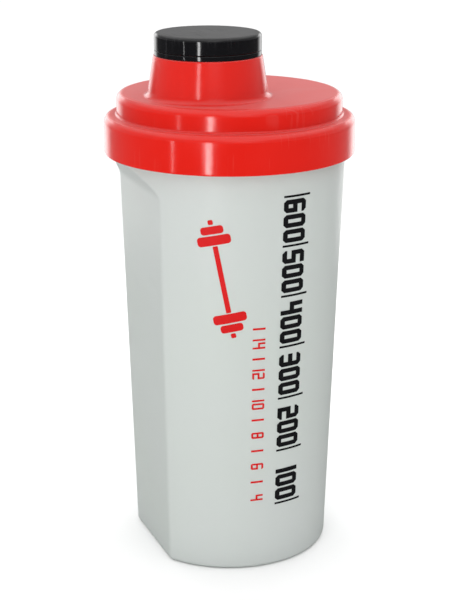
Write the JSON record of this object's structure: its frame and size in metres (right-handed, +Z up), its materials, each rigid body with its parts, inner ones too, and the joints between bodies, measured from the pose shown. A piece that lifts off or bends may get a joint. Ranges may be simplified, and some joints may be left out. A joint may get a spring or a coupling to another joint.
{
  "type": "shaker bottle",
  "caption": "Screw-lid shaker bottle: translucent drafted cup with a flat side, drop-in strainer, two-tier lid with an off-centre spout, and a low screw cap.",
  "frame": {"origin": "centre of the cup's base, on the cup's axis", "axes": "+Z up along the cup's axis; -X out of the cup's flat side; the print faces -Y"},
  "size_m": [0.0958, 0.0958, 0.205],
  "materials": {
    "cup_plastic": "translucent natural polypropylene, satin, milky",
    "strainer_plastic": "white polypropylene, satin",
    "seal_rubber": "pale translucent silicone rubber",
    "lid_plastic": "red polypropylene, glossy",
    "cap_plastic": "black polypropylene, glossy",
    "liner_foam": "white foamed polyethylene",
    "print_black": "black screen-printed ink, satin",
    "print_red": "red screen-printed ink, satin"
  },
  "bodies": {
    "cup": {"cup": "cup_plastic"},
    "strainer": {"strainer": "strainer_plastic"},
    "lid_seal": {"lid_seal": "seal_rubber"},
    "lid": {"lid": "lid_plastic"},
    "cap_ring": {"cap_ring": "cap_plastic"},
    "cap_liner": {"cap_liner": "liner_foam"},
    "cap": {"cap": "cap_plastic"}
  },
  "joints": [
    {"name": "lid_and_strainer_lift", "type": "slide", "parent": "cup", "child": "strainer", "axis": [0, 0, 1], "range_m": [0, 0.12]},
    {"name": "lid_rise", "type": "slide", "parent": "strainer", "child": "lid_seal", "axis": [0, 0, 1], "range_m": [0, 0.0046]},
    {"name": "lid_turn", "type": "hinge", "parent": "lid_seal", "child": "lid", "pos_m": [0, 0, 0.17], "axis": [0, 0, 1], "range_deg": [0, 360]},
    {"name": "cap_lift", "type": "slide", "parent": "lid", "child": "cap_ring", "axis": [0, 0, 1], "range_m": [0, 0.06]},
    {"name": "cap_rise", "type": "slide", "parent": "cap_ring", "child": "cap_liner", "axis": [0, 0, 1], "range_m": [0, 0.0021]},
    {"name": "cap_turn", "type": "hinge", "parent": "cap_liner", "child": "cap", "pos_m": [-0.0113, -0.007, 0.2], "axis": [0, 0, 1], "range_deg": [0, 370]}
  ],
  "couplings": [
    {"joint": "lid_rise", "follows": "lid_turn", "m_per_rad": 0.0007162},
    {"joint": "cap_rise", "follows": "cap_turn", "m_per_rad": 0.00031831}
  ]
}
